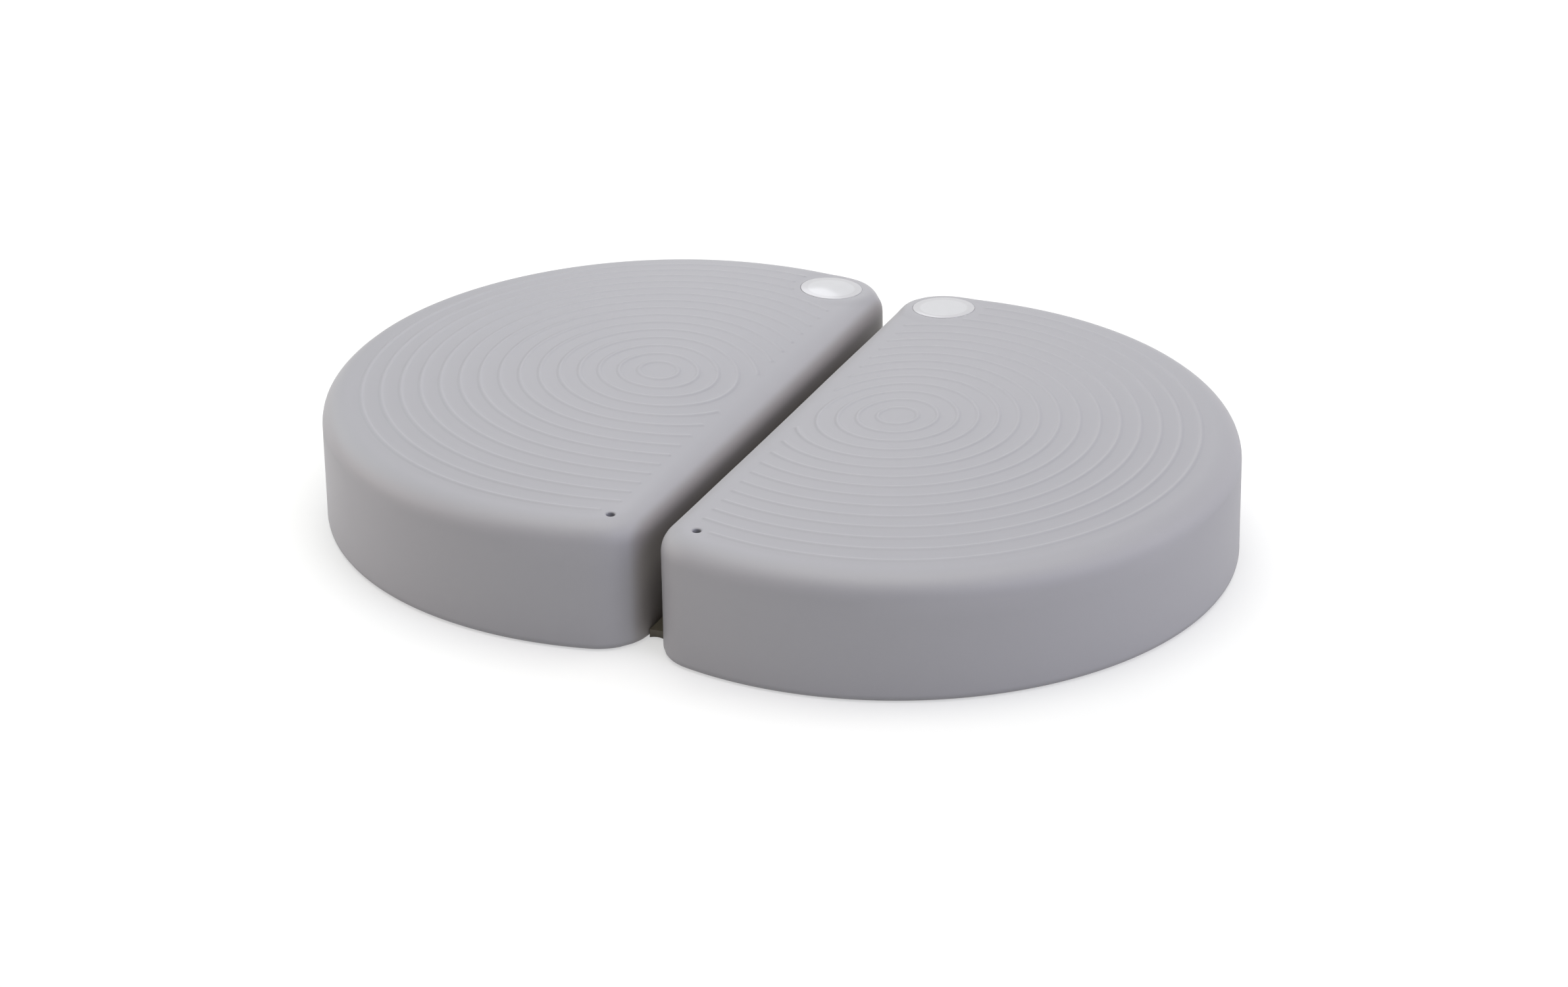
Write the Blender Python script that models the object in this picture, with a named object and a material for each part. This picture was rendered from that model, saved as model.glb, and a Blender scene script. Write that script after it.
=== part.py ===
"""Two-chamber balance cushion: two inflated half-moon pods joined at the base by a flexible web.

Metres, +Z up. The origin is on the floor, midway between the pods. +X points from the left pod
to the right pod, and +Y runs along the gap, from the valve ends to the badge ends.
"""

import math
from typing import NamedTuple

import bmesh
import bpy
from mathutils import Vector

# Plan of one pod: a large arc, a straight side along the gap, and two rounded corners.
ARC_RADIUS = 0.187
ARC_CENTRE_X = 0.072
HALF_GAP = 0.005
CORNER_RADIUS = 0.030

# Edges and skin of one pod.
TOP_EDGE_RADIUS = 0.0135
BASE_EDGE_RADIUS = 0.003
SKIN = 0.003

# Blown-up top: how square its swell is, how far from the gap it takes to rise, its fall outwards.
SWELL_POWER = 2.6
SWELL_RUN = 0.040
OUTWARD_FALL = 0.011

# Concentric ribs moulded on the top, centred on the large arc's own centre.
RIB_PITCH = 0.011
RIB_COUNT = 15
RIB_WIDTH = 0.0038
RIB_HEIGHT = 0.00045
RIB_FIELD_X = 0.023

# Badge disc in its shallow seat, at the far inner corner. It leans with the top, outwards.
BADGE_RADIUS = 0.0178
BADGE_THICKNESS = 0.0014
BADGE_EDGE = 0.0005
BADGE_SINK = 0.0002
BADGE_LEAN = (-0.027, 0.071)
BADGE_TO_RIB = 0.004

# Needle valve plug and the boss that holds it, at the near inner corner.
VALVE_TO_RIB = 0.0065
MOUTH_RADIUS = 0.0023
LIP_DEPTH = 0.004
BOSS_RADIUS = 0.0075
BOSS_BOTTOM_Z = 0.055
PLUG_RADIUS = 0.0042
PLUG_GROOVE_DEPTH = 0.0008
PLUG_GROOVE_LENGTH = 0.002
PLUG_BEVEL = 0.001
PLUG_FUNNEL_DEPTH = 0.0015
STEM_RADIUS = 0.0026
STEM_LENGTH = 0.006
NEEDLE_RADIUS = 0.0009

# Web along the gap, at the base. The pods fold about the line under it.
WEB_HALF_LENGTH = 0.156
WEB_END_SCOOP = 0.001
WEB_EDGE_BOTTOM_Z = 0.0004
WEB_EDGE_TOP_Z = 0.0052
WEB_ARCH = 0.0004
HINGE_Z = 0.0

# Fit between neighbouring pieces, and how far a cutter runs on past the face that it opens.
CLEARANCE = 0.0003
RUN_PAST = 0.01

# Facets: the ribs' arcs may stray this far from round, and the rest is counted in steps.
RIB_SAGITTA = 0.001
ARC_STEPS = 20
CORNER_STEPS = 4
TOP_EDGE_STEPS = 4
BASE_EDGE_STEPS = 2
HOLLOW_EDGE_STEPS = 2
BORE_STEPS = 16
PLUG_STEPS = 20
SEAT_STEPS = 24
BADGE_STEPS = 40
BADGE_EDGE_STEPS = 3
WEB_STEPS_ACROSS = 8
WEB_STEPS_ALONG = 12
SMOOTH_ANGLE = math.radians(40.0)

CORNER_X = HALF_GAP + CORNER_RADIUS
CORNER_Y = math.sqrt((ARC_RADIUS - CORNER_RADIUS) ** 2 - (ARC_CENTRE_X - CORNER_X) ** 2)
CORNER_ANGLE = math.atan2(CORNER_Y, CORNER_X - ARC_CENTRE_X)


class Pod(NamedTuple):
    """What differs between the pods: the air in them, and where their fittings were set."""

    name: str
    side: int
    edge_height: float
    swell: float
    valve: tuple
    badge: tuple
    badge_dome: float


LEFT = Pod("left", -1, 0.0718, 0.0095, (0.0227, -0.1618), (0.0356, 0.1547), 0.0005)
RIGHT = Pod("right", 1, 0.0710, 0.0076, (0.0267, -0.1606), (0.0343, 0.1557), 0.0002)


def clear_scene():
    for old in list(bpy.data.objects):
        bpy.data.objects.remove(old, do_unlink=True)


def material(name, colour, roughness):
    made = bpy.data.materials.new(name)
    made.use_nodes = True
    shader = made.node_tree.nodes["Principled BSDF"]
    shader.inputs["Base Color"].default_value = (*colour, 1.0)
    shader.inputs["Roughness"].default_value = roughness
    shader.inputs["Metallic"].default_value = 0.0
    return made


def add_object(name, mesh, parent, location=(0.0, 0.0, 0.0), finish=None):
    made = bpy.data.objects.new(name, mesh)
    bpy.context.scene.collection.objects.link(made)
    made.parent = parent
    made.location = location
    if finish is not None:
        made.data.materials.clear()
        made.data.materials.append(finish)
    return made


def finished_mesh(name, bm):
    """Turns every face outwards, shades the rounded surfaces smooth and closes the bmesh."""
    bmesh.ops.recalc_face_normals(bm, faces=bm.faces[:])
    mesh = bpy.data.meshes.new(name)
    bm.to_mesh(mesh)
    bm.free()
    mesh.shade_smooth()
    mesh.set_sharp_from_angle(angle=SMOOTH_ANGLE)
    return mesh


def arc(centre, radius, start, end, steps):
    """Points on an arc in the plan, both ends included."""
    angles = [start + (end - start) * i / steps for i in range(steps + 1)]
    return [
        (centre[0] + radius * math.cos(a), centre[1] + radius * math.sin(a)) for a in angles
    ]


def pod_outline(inset):
    """The right pod's plan, counter-clockwise, drawn in by inset all round."""
    arc_side = arc(
        (ARC_CENTRE_X, 0.0), ARC_RADIUS - inset, -CORNER_ANGLE, CORNER_ANGLE, ARC_STEPS
    )
    corner = CORNER_RADIUS - inset
    far = arc((CORNER_X, CORNER_Y), corner, CORNER_ANGLE, math.pi, CORNER_STEPS)
    near = arc(
        (CORNER_X, -CORNER_Y), corner, math.pi, 2.0 * math.pi - CORNER_ANGLE, CORNER_STEPS
    )
    return arc_side + far[1:] + near[:-1]


def crown_height(pod, x, y):
    """Height of the inflated top over a point of the plan, seen as the right pod's."""
    away = math.hypot(x - ARC_CENTRE_X, y) / (ARC_RADIUS - TOP_EDGE_RADIUS)
    from_side = x - HALF_GAP - TOP_EDGE_RADIUS
    fullness = (1.0 - away**SWELL_POWER) * (1.0 - math.exp(-from_side / SWELL_RUN))
    return pod.edge_height + pod.swell * fullness - OUTWARD_FALL * (x - ARC_CENTRE_X)


def quarter_turns(steps):
    return [0.5 * math.pi * i / steps for i in range(steps + 1)]


def quarter_round(radius, steps):
    """(inset, height) of a rounded edge, from the vertical wall to the flat it turns into."""
    return [(radius * (1.0 - math.cos(t)), radius * math.sin(t)) for t in quarter_turns(steps)]


def top_edge_rings(pod, depth, steps):
    """Points of each ring of the rounded top edge, from the wall up, at a depth inside the skin.

    The edge starts along the crown's own slope, so that no crease shows where they meet.
    """
    rings = [[] for _ in range(steps + 1)]
    scale = 1.0 - depth / TOP_EDGE_RADIUS
    for start, wall in zip(pod_outline(TOP_EDGE_RADIUS), pod_outline(0.0)):
        out_x = wall[0] - start[0]
        out_y = wall[1] - start[1]
        height = crown_height(pod, *start)
        fall = height - crown_height(pod, start[0] + 0.01 * out_x, start[1] + 0.01 * out_y)
        for ring, turn in zip(rings, quarter_turns(steps)):
            out = math.cos(turn)
            drop = TOP_EDGE_RADIUS * (1.0 - math.sin(turn)) + 100.0 * fall * out * (1.0 - out)
            x = start[0] + out_x * scale * out
            y = start[1] + out_y * scale * out
            ring.append((x, y, height - depth - scale * drop))
    return rings


def add_loop(bm, points, z, side):
    return [bm.verts.new((side * (x - ARC_CENTRE_X), y, z)) for x, y in points]


def add_points(bm, points, side):
    return [bm.verts.new((side * (x - ARC_CENTRE_X), y, z)) for x, y, z in points]


def join_loops(bm, lower, upper):
    """Closes the band between two rings of as many points."""
    count = len(lower)
    for i in range(count):
        j = (i + 1) % count
        bm.faces.new((lower[i], lower[j], upper[j], upper[i]))


def stop_angle(radius, away, angle, keep):
    """Angle at which an arc of this radius comes within keep of a point, short of that point."""
    cosine = (away**2 + radius**2 - keep**2) / (2.0 * away * radius)
    if cosine >= 1.0:
        return math.pi
    return angle - math.acos(cosine)


def rib_ends(pod, radius):
    """Angles where a rib stops: at the plain strip by the gap, the valve and the badge."""
    strip = math.pi
    if radius > ARC_CENTRE_X - RIB_FIELD_X:
        strip = math.pi - math.acos((ARC_CENTRE_X - RIB_FIELD_X) / radius)
    stops = []
    for (x, y), keep in ((pod.valve, VALVE_TO_RIB), (pod.badge, BADGE_RADIUS + BADGE_TO_RIB)):
        away_x = x - ARC_CENTRE_X
        stop = stop_angle(radius, math.hypot(away_x, y), math.atan2(abs(y), away_x), keep)
        stops.append(min(strip, stop))
    return -stops[0], stops[1]


def rib_lines(pod, radius):
    """The outer, crest and inner lines of one rib in the plan, and whether it is a full ring."""
    start, end = rib_ends(pod, radius)
    full = end - start > 2.0 * math.pi - 1e-6
    step = 2.0 * math.acos(1.0 - RIB_SAGITTA / radius)
    steps = math.ceil((end - start) / step)
    centre = (ARC_CENTRE_X, 0.0)
    half = 0.5 * RIB_WIDTH
    rounded = 0.0 if full else half / radius
    outer = arc(centre, radius + half, start, end, steps)
    crest = arc(centre, radius, start + rounded, end - rounded, steps)
    inner = arc(centre, radius - half, start, end, steps)
    if full:
        return outer[:-1], crest[:-1], inner[:-1], True
    return outer, crest, inner, False


def add_top_points(bm, pod, points, rise):
    return add_points(bm, [(x, y, crown_height(pod, x, y) + rise) for x, y in points], pod.side)


def add_rib(bm, pod, radius):
    """Adds one rib's own faces, and returns the loops where it meets the skin."""
    outer_line, crest_line, inner_line, full = rib_lines(pod, radius)
    outer = add_top_points(bm, pod, outer_line, 0.0)
    crest = add_top_points(bm, pod, crest_line, RIB_HEIGHT)
    inner = add_top_points(bm, pod, inner_line, 0.0)
    if full:
        join_loops(bm, outer, crest)
        join_loops(bm, crest, inner)
        return [outer, inner]
    for i in range(len(crest) - 1):
        bm.faces.new((outer[i], outer[i + 1], crest[i + 1], crest[i]))
        bm.faces.new((crest[i], crest[i + 1], inner[i + 1], inner[i]))
    bm.faces.new((outer[0], crest[0], inner[0]))
    bm.faces.new((outer[-1], inner[-1], crest[-1]))
    return [outer + inner[::-1]]


def fill_top(bm, loops):
    """Fills between the top edge and the ribs' own outlines, and leaves the ribs' faces alone."""
    edges = []
    for loop in loops:
        for i in range(len(loop)):
            ends = (loop[i], loop[(i + 1) % len(loop)])
            edges.append(bm.edges.get(ends) or bm.edges.new(ends))
    bmesh.ops.triangle_fill(bm, edges=edges, use_beauty=True, normal=(0.0, 0.0, 1.0))


def outer_skin(pod):
    """The closed outer form of one pod: base, wall, rounded edges, crown and ribs."""
    bm = bmesh.new()
    base = quarter_round(BASE_EDGE_RADIUS, BASE_EDGE_STEPS)[::-1]
    rings = [add_loop(bm, pod_outline(i), BASE_EDGE_RADIUS - h, pod.side) for i, h in base]
    rings += [add_points(bm, ring, pod.side) for ring in top_edge_rings(pod, 0.0, TOP_EDGE_STEPS)]
    bm.faces.new(rings[0])
    for lower, upper in zip(rings, rings[1:]):
        join_loops(bm, lower, upper)
    loops = [rings[-1]]
    for number in range(1, RIB_COUNT + 1):
        loops += add_rib(bm, pod, number * RIB_PITCH)
    fill_top(bm, loops)
    return finished_mesh("chamber_skin", bm)


def air_space(pod):
    """The hollow inside one pod, a skin's thickness inside the outer form."""
    bm = bmesh.new()
    rings = [add_loop(bm, pod_outline(SKIN), SKIN, pod.side)]
    inner_edge = top_edge_rings(pod, SKIN, HOLLOW_EDGE_STEPS)
    rings += [add_points(bm, ring, pod.side) for ring in inner_edge]
    edge = pod_outline(TOP_EDGE_RADIUS)
    half_way = [((x + ARC_CENTRE_X) / 2.0, y / 2.0) for x, y in edge]
    rings.append(add_top_points(bm, pod, half_way, -SKIN))
    bm.faces.new(rings[0])
    for lower, upper in zip(rings, rings[1:]):
        join_loops(bm, lower, upper)
    peak = add_top_points(bm, pod, [(ARC_CENTRE_X, 0.0)], -SKIN)[0]
    count = len(rings[-1])
    for i in range(count):
        bm.faces.new((rings[-1][i], rings[-1][(i + 1) % count], peak))
    return finished_mesh("air_space", bm)


def turned(name, profile, steps):
    """A closed round piece from (radius, z) points; a radius of 0 closes an end on the axis."""
    bm = bmesh.new()
    rings = []
    for radius, z in profile:
        if radius == 0.0:
            rings.append([bm.verts.new((0.0, 0.0, z))])
            continue
        rings.append([bm.verts.new((x, y, z)) for x, y in circle(radius, steps)])
    for lower, upper in zip(rings, rings[1:]):
        if len(lower) == 1 or len(upper) == 1:
            tip, ring = (lower, upper) if len(lower) == 1 else (upper, lower)
            for i in range(steps):
                bm.faces.new((tip[0], ring[i], ring[(i + 1) % steps]))
        else:
            join_loops(bm, lower, upper)
    return finished_mesh(name, bm)


def circle(radius, steps):
    return arc((0.0, 0.0), radius, 0.0, 2.0 * math.pi, steps)[:-1]


def cylinder_profile(radius, bottom, top):
    return [(0.0, bottom), (radius, bottom), (radius, top), (0.0, top)]


def bore_profile(top):
    """Mouth of the valve bore, and the wider bore below its lip where the plug sits."""
    lip = top - LIP_DEPTH
    above = top + RUN_PAST
    below = BOSS_BOTTOM_Z - RUN_PAST
    plug_bore = PLUG_RADIUS + CLEARANCE
    return [
        (0.0, below),
        (plug_bore, below),
        (plug_bore, lip),
        (MOUTH_RADIUS, lip),
        (MOUTH_RADIUS, above),
        (0.0, above),
    ]


def plug_profile(top):
    """Rubber needle valve: a grooved head under the lip, a stem below, and a blind needle way."""
    head_top = top - LIP_DEPTH - CLEARANCE
    groove = PLUG_RADIUS - PLUG_GROOVE_DEPTH
    groove_bottom = BOSS_BOTTOM_Z + 4.0 * PLUG_BEVEL
    groove_top = groove_bottom + PLUG_GROOVE_LENGTH
    stem_bottom = BOSS_BOTTOM_Z - STEM_LENGTH
    return [
        (0.0, stem_bottom),
        (STEM_RADIUS - PLUG_BEVEL, stem_bottom),
        (STEM_RADIUS, stem_bottom + PLUG_BEVEL),
        (STEM_RADIUS, BOSS_BOTTOM_Z - PLUG_BEVEL),
        (PLUG_RADIUS, BOSS_BOTTOM_Z + PLUG_BEVEL),
        (PLUG_RADIUS, groove_bottom - PLUG_BEVEL),
        (groove, groove_bottom),
        (groove, groove_top),
        (PLUG_RADIUS, groove_top + PLUG_BEVEL),
        (PLUG_RADIUS, head_top),
        (MOUTH_RADIUS - CLEARANCE, head_top),
        (NEEDLE_RADIUS, head_top - PLUG_FUNNEL_DEPTH),
        (NEEDLE_RADIUS, BOSS_BOTTOM_Z),
        (0.0, BOSS_BOTTOM_Z - 0.5 * PLUG_BEVEL),
    ]


def badge_profile(dome):
    """A flat-backed disc with a rounded rim and a slightly domed face."""
    rim = [
        (BADGE_RADIUS - i, BADGE_THICKNESS - BADGE_EDGE + h)
        for i, h in quarter_round(BADGE_EDGE, BADGE_EDGE_STEPS)
    ]
    face = [(BADGE_RADIUS * s, BADGE_THICKNESS + dome * (1.0 - s**2)) for s in (0.6, 0.0)]
    return [(0.0, 0.0), (BADGE_RADIUS, 0.0)] + rim + face


def web_mesh():
    """The strip between the pods, arched under and dished on top, with scooped ends."""
    half_width = HALF_GAP - CLEARANCE
    bm = bmesh.new()
    rows = []
    for j in range(WEB_STEPS_ALONG + 1):
        under = []
        over = []
        for i in range(WEB_STEPS_ACROSS + 1):
            s = 2.0 * i / WEB_STEPS_ACROSS - 1.0
            middle = 1.0 - s**2
            x = half_width * s
            y = (WEB_HALF_LENGTH - WEB_END_SCOOP * middle) * (2.0 * j / WEB_STEPS_ALONG - 1.0)
            under.append(bm.verts.new((x, y, WEB_EDGE_BOTTOM_Z + WEB_ARCH * middle)))
            over.append(bm.verts.new((x, y, WEB_EDGE_TOP_Z - WEB_ARCH * middle)))
        rows.append(under + over[::-1])
    for near, far in zip(rows, rows[1:]):
        join_loops(bm, near, far)
    for end in (rows[0], rows[-1]):
        for i in range(WEB_STEPS_ACROSS):
            bm.faces.new((end[i], end[i + 1], end[-2 - i], end[-1 - i]))
    return finished_mesh("fold_web", bm)


def add_cutter(name, mesh, parent, location):
    made = add_object(name, mesh, parent, location)
    made.hide_render = True
    made.display_type = "WIRE"
    return made


def lean(made, side):
    """Leans a badge or its seat with the top."""
    made.rotation_mode = "QUATERNION"
    made.rotation_quaternion = Vector((0.0, 0.0, 1.0)).rotation_difference(
        Vector((side * BADGE_LEAN[0], BADGE_LEAN[1], 1.0))
    )


def add_boolean(target, tool, operation):
    modifier = target.modifiers.new(tool.name, "BOOLEAN")
    modifier.object = tool
    modifier.operation = operation
    modifier.solver = "EXACT"


def build_chamber(pod, pivot, valve_at, seat_at, vinyl):
    """A hollow skin, opened only by the valve bore through its boss, with the badge's seat."""
    centre = (pod.side * ARC_CENTRE_X, 0.0, -HINGE_Z)
    mouth = crown_height(pod, *pod.valve)
    boss_profile = cylinder_profile(BOSS_RADIUS, BOSS_BOTTOM_Z, mouth - 0.5 * SKIN)
    seat_profile = cylinder_profile(BADGE_RADIUS + CLEARANCE, -CLEARANCE, RUN_PAST)
    chamber = add_object(f"{pod.name}_chamber", outer_skin(pod), pivot, centre, vinyl)
    cuts = [
        ("air_space", air_space(pod), centre, "DIFFERENCE"),
        ("valve_boss", turned("valve_boss", boss_profile, BORE_STEPS), valve_at, "UNION"),
        ("valve_bore", turned("valve_bore", bore_profile(mouth), BORE_STEPS), valve_at, "DIFFERENCE"),
        ("badge_seat", turned("badge_seat", seat_profile, SEAT_STEPS), seat_at, "DIFFERENCE"),
    ]
    for label, mesh, location, operation in cuts:
        tool = add_cutter(f"{pod.name}_{label}", mesh, pivot, location)
        if label == "badge_seat":
            lean(tool, pod.side)
        add_boolean(chamber, tool, operation)


def build_pod(pod, pivot, vinyl, rubber, disc):
    """One pod: its chamber, the needle valve in the bore and the badge in its seat."""
    valve_at = (pod.side * pod.valve[0], pod.valve[1], -HINGE_Z)
    badge_z = crown_height(pod, *pod.badge) - BADGE_SINK - BADGE_THICKNESS
    badge_at = (pod.side * pod.badge[0], pod.badge[1], badge_z - HINGE_Z)
    build_chamber(pod, pivot, valve_at, badge_at, vinyl)
    plug = turned("needle_valve", plug_profile(crown_height(pod, *pod.valve)), PLUG_STEPS)
    add_object(f"{pod.name}_needle_valve", plug, pivot, valve_at, rubber)
    badge = turned("badge", badge_profile(pod.badge_dome), BADGE_STEPS)
    lean(add_object(f"{pod.name}_badge", badge, pivot, badge_at, disc), pod.side)


def main():
    clear_scene()
    vinyl = material("grey_vinyl", (0.382, 0.377, 0.405), 0.5)
    web_vinyl = material("web_vinyl", (0.132, 0.116, 0.084), 0.5)
    rubber = material("valve_rubber", (0.03, 0.03, 0.032), 0.6)
    disc = material("milky_disc", (0.555, 0.555, 0.58), 0.12)

    still_half = add_object("left_half", None, None, (0.0, 0.0, HINGE_Z))
    folding_half = add_object("fold_axis", None, still_half)
    build_pod(LEFT, still_half, vinyl, rubber, disc)
    build_pod(RIGHT, folding_half, vinyl, rubber, disc)
    add_object("fold_web", web_mesh(), still_half, (0.0, 0.0, -HINGE_Z), web_vinyl)


main()
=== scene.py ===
"""Looks of the two-chamber balance cushion: fine vinyl skins with moulded ribs, badges, valves and web.

Metres, +Z up. The origin is on the floor, midway between the pods. +X points from the left pod
to the right pod, and +Y runs along the gap, from the valve ends to the badge ends.
The pieces of a pod are shaped as the right one's, and turned over in X for the left one.
"""

import math
from typing import NamedTuple

import bmesh
import bpy
from mathutils import Matrix, Quaternion, Vector, noise


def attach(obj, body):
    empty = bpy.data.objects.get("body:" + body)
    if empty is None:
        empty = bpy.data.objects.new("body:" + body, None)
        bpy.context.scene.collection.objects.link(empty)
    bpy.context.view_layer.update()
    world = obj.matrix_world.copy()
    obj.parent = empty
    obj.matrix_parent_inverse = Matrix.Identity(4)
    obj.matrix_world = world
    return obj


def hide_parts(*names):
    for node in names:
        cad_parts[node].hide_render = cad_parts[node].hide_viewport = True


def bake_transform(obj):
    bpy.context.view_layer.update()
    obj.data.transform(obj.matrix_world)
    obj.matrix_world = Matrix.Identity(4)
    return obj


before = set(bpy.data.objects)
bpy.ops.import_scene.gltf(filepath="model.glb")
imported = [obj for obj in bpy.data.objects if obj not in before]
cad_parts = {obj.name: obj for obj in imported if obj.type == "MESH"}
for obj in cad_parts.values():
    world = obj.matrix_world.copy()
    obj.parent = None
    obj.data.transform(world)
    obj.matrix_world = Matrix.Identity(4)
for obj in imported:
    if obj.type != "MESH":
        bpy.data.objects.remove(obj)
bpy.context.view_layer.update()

# Plan of one pod: a large arc, a straight side along the gap, and two rounded corners.
ARC_RADIUS = 0.187
ARC_CENTRE_X = 0.072
HALF_GAP = 0.005
CORNER_RADIUS = 0.030

# Edges of one pod, and two heights: its top and most of the top's edge lie above the first, and
# the whole of that edge lies above the second.
TOP_EDGE_RADIUS = 0.0135
BASE_EDGE_RADIUS = 0.003
TOP_BAND_Z = 0.060
TOP_EDGE_LOWEST_Z = 0.050

# Blown-up top: how square its swell is, how far from the gap it takes to rise, its fall outwards.
SWELL_POWER = 2.6
SWELL_RUN = 0.040
OUTWARD_FALL = 0.011

# Concentric ribs moulded on the top.
RIB_PITCH = 0.011
RIB_COUNT = 15
RIB_FOOT = 0.0020
RIB_HEIGHT = 0.00045
RIB_FIELD_X = 0.023

# Badge, the shallow seat that it lies in, and how far round it the skin lies flat.
BADGE_RADIUS = 0.0178
BADGE_THICKNESS = 0.0014
BADGE_RIM = 0.0004
BADGE_FACE_RADIUS = 0.0138
BADGE_SINK = 0.0002
BADGE_PROUD = 0.0002
BADGE_LEAN = (-0.027, 0.071)
BADGE_TO_RIB = 0.004
BADGE_FIT = 0.00006
BADGE_FOOT_BEVEL = 0.0003
BADGE_FACE_SHARES = (1.0, 0.97, 0.94, 0.9, 0.85, 0.75, 0.65, 0.5, 0.35, 0.2, 0.1, 0.0)
SEAT_DEPTH = 0.0003
SEAT_ROUND = 0.00012
SEAT_BLEND = 0.0016
FLAT_WITHIN = 0.0192
FLAT_FADES_BY = 0.027

# Needle valve: the mouth in the skin, the pocket under its lip, and the rubber plug.
VALVE_TO_RIB = 0.0065
MOUTH_RADIUS = 0.0023
MOUTH_FLARE = 0.0012
MOUTH_FLARE_DEPTH = 0.0009
LIP_DEPTH = 0.004
LIP_BEVEL = 0.0003
POCKET_RADIUS = 0.0045
POCKET_BOTTOM_Z = 0.047
PLUG_RADIUS = 0.0042
PLUG_BOTTOM_Z = 0.055
PLUG_GAP = 0.0003
PLUG_GROOVE_DEPTH = 0.0008
PLUG_GROOVE_LENGTH = 0.002
PLUG_BEVEL = 0.001
PLUG_HEAD_BEVEL = 0.0002
PLUG_FUNNEL_DEPTH = 0.0015
STEM_RADIUS = 0.0026
STEM_LENGTH = 0.006
NEEDLE_RADIUS = 0.0009

# Web along the gap, at the base.
WEB_HALF_LENGTH = 0.156
WEB_END_SCOOP = 0.001
WEB_EDGE_BOTTOM_Z = 0.0004
WEB_EDGE_TOP_Z = 0.0052
WEB_ARCH = 0.0004
WEB_CLEARANCE = 0.0003

# Fineness of the skins, in metres or in steps.
RIB_STEPS = 8
PLAIN_STEPS = 3
FINE_STEP = 0.0004
COARSE_STEP = 0.003
STEP_GROWTH = 1.25
STRIP_ZONE = 0.008
BADGE_ZONE_MARGIN = 0.004
CORNER_TURN_STEPS = 6
TANGENT_STEPS = 5
MARGIN_STEPS = 3
TOP_EDGE_STEPS = 12
WALL_STEPS = 6
BASE_EDGE_STEPS = 4
BASE_SHARES = (0.93, 0.75, 0.5, 0.25)
MOUTH_STEPS_ROUND = 64
MOUTH_FLARE_STEPS = 6
MOUTH_PATCH_MARGIN = 0.0006
SEAT_STEPS_ROUND = 160
SEAT_ROUND_STEPS = 4
SEAT_PATCH_MARGIN = 0.0008
SMOOTH_ANGLE = math.radians(35.0)

# Fineness of the badges, the plugs and the web, in steps.
BADGE_STEPS_ROUND = 128
BADGE_RIM_STEPS = 6
PLUG_STEPS_ROUND = 48
WEB_STEPS_ACROSS = 24
WEB_STEPS_ALONG = 60

# Unevenness left by inflation: how far it goes, in metres, how close its waves come, and between
# which distances from the base, the top edge's start, the badge and the valve it sets in.
WALL_WANDER = 0.0003
TOP_WANDER = 0.00012
WALL_WAVES_PER_METRE = 14.0
TOP_WAVES_PER_METRE = 18.0
WANDERS_FROM_BASE = (0.0, 0.02)
WANDERS_FROM_EDGE = (-0.004, 0.012)
WANDERS_FROM_BADGE = (0.02, 0.045)
WANDERS_FROM_VALVE = (0.006, 0.02)

# Colours of the vinyl's top; of its sides, warmer with a painted reflection of the floor's bounce; in
# the gap, darker with painted shade; of the web, dark with painted shade; of the badges' face and the
# band along their rim; and of the plugs' rubber and its bloom.
VINYL_TINT = (0.382, 0.377, 0.405)
VINYL_SIDE_REFLECTION_TINT = (0.386, 0.379, 0.395)
VINYL_GAP_SHADE_TINT = (0.316, 0.296, 0.294)
WEB_SHADE_TINT = (0.132, 0.116, 0.084)
BADGE_TINT = (0.555, 0.555, 0.58)
BADGE_RIM_TINT = (0.505, 0.5, 0.525)
VALVE_TINT = (0.018, 0.018, 0.02)
VALVE_BLOOM_TINT = (0.045, 0.044, 0.045)

# How near the gap its painted shade starts and is full, and the height and tone of the painted shade
# along the base.
GAP_SHADE_FROM = 0.0105
GAP_SHADE_FULL = 0.0055
BASE_SHADE_HEIGHT = 0.0045
BASE_SHADE_TONE = 0.6

# Where the colour of a badge's face starts to change to its rim's, and where it is full.
RIM_TINT_FROM = BADGE_FACE_RADIUS - 0.001
RIM_TINT_FULL = BADGE_FACE_RADIUS + 0.0004

# How much paler the vinyl is on a rib's crest, and how much paler the painted light on the top edge's
# rounding makes it, with what brings the measure of that painted light to 1 at its peak.
CREST_TONE = 1.02
EDGE_PAINTED_LIGHT_TONE = 1.12
EDGE_PAINTED_LIGHT_SCALE = 2.6

# Roughness of each surface, what the ribs' crests lose of it, what haze and bloom add to it, and
# the vinyl's sheen.
VINYL_ROUGHNESS = 0.5
CREST_SMOOTHER_BY = 0.05
BADGE_ROUGHNESS = 0.08
BADGE_HAZE = 0.08
VALVE_ROUGHNESS = 0.5
VALVE_BLOOM_ROUGHNESS = 0.2
VINYL_SHEEN = 0.4

# Unevenness of the colours and the gloss: how many spots a metre holds, and how much they change.
CLOUDS_PER_METRE = 13.0
MOTTLE_PER_METRE = 70.0
SPECKLE_PER_METRE = 1500.0
BADGE_CLOUDS_PER_METRE = 160.0
HAZE_PER_METRE = 900.0
CLOUD_GLOSS = 0.12
MOTTLE_GLOSS = 0.08
BADGE_CLOUD_TONE = 0.06

# Strength of the surfaces' grain, and its depth in metres.
VINYL_GRAIN = (0.35, 0.00006)
VALVE_GRAIN = (0.3, 0.00005)

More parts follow.
